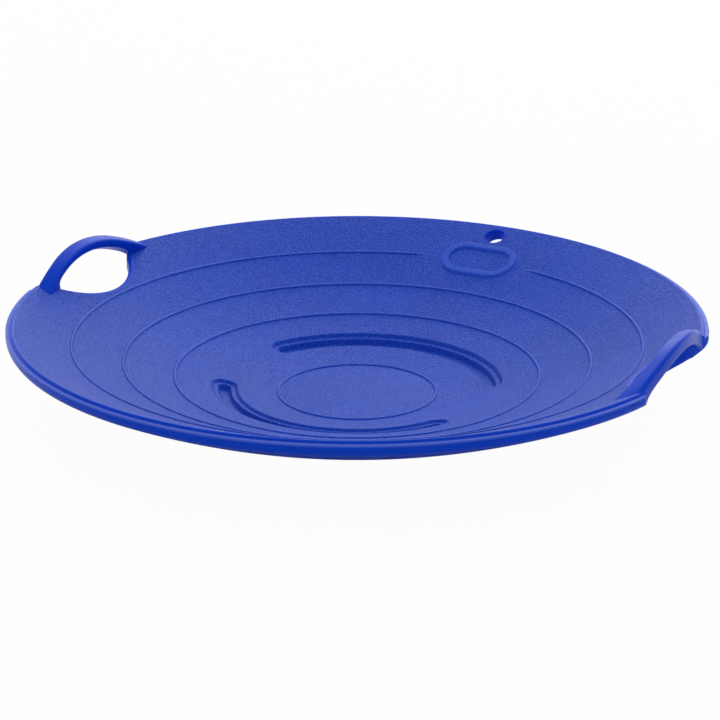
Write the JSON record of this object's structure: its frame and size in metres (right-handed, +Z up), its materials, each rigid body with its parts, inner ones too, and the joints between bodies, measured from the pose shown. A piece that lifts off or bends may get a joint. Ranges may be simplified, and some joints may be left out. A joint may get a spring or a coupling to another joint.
{
  "type": "saucer sled",
  "caption": "Shallow double-walled plastic snow saucer with raised rings, curved stepped channels, arched handles over hand openings, a tow hole and a blank oval badge frame.",
  "frame": {"origin": "middle of the running bottom's flat, which the sled rests on", "axes": "+Z up out of the seat, +Y towards the tow hole, +X towards the right handle"},
  "size_m": [0.652, 0.66, 0.113],
  "materials": {
    "grained_blue": "fine pebble grain, satin",
    "smooth_blue": "smooth, soft gloss"
  },
  "bodies": {
    "root": {"deck": "grained_blue", "running_bottom": "smooth_blue", "rim_tow": "smooth_blue", "rim_front_left": "smooth_blue", "rim_front_right": "smooth_blue", "rim_rear": "smooth_blue", "left_handle": "smooth_blue", "right_handle": "smooth_blue", "left_grip_wall": "smooth_blue", "right_grip_wall": "smooth_blue", "front_channel": "grained_blue", "rear_channel": "grained_blue", "tow_hole_sleeve": "smooth_blue", "badge_frame": "grained_blue"}
  },
  "joints": []
}
